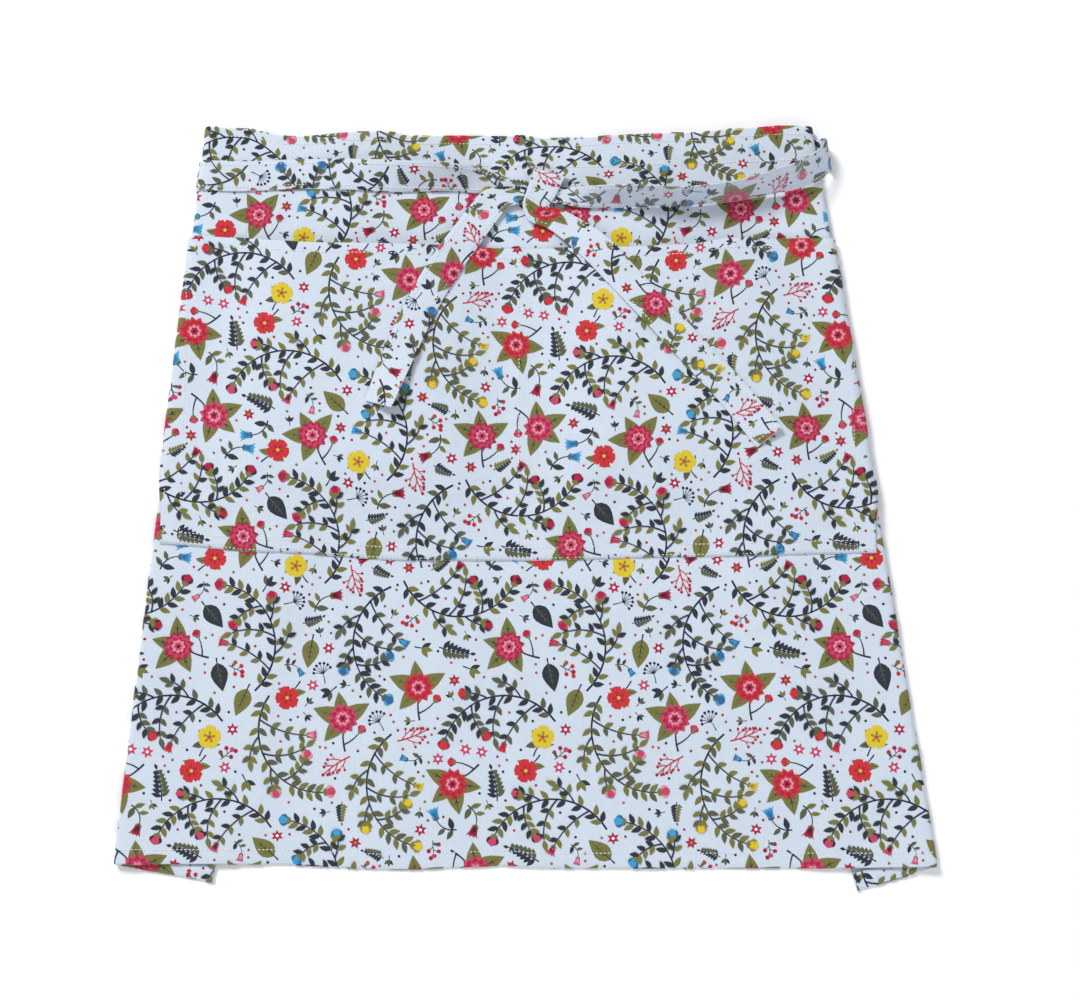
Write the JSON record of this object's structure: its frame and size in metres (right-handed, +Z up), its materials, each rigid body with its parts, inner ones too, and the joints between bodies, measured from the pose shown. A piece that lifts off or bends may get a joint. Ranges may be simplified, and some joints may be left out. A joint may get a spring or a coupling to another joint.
{
  "type": "gardening apron",
  "caption": "Half apron of light printed cotton lying face up: sides folded behind, a wide patch pocket with a centre seam, and the waist ties brought round to the front and knotted.",
  "frame": {"origin": "middle of the laid apron's bounding box, on the surface that it lies on", "axes": "+X across the apron, to the right of someone looking at its front; +Y from the hem up to the waist edge; +Z up from the surface, towards the front of the apron"},
  "size_m": [0.5866, 0.5708, 0.0319],
  "materials": {
    "printed_cotton": "matt plain-weave cotton with a small floral print"
  },
  "bodies": {
    "root": {"apron_cloth": "printed_cotton", "front_pocket": "printed_cotton", "left_tie": "printed_cotton", "right_tie": "printed_cotton"}
  },
  "joints": []
}
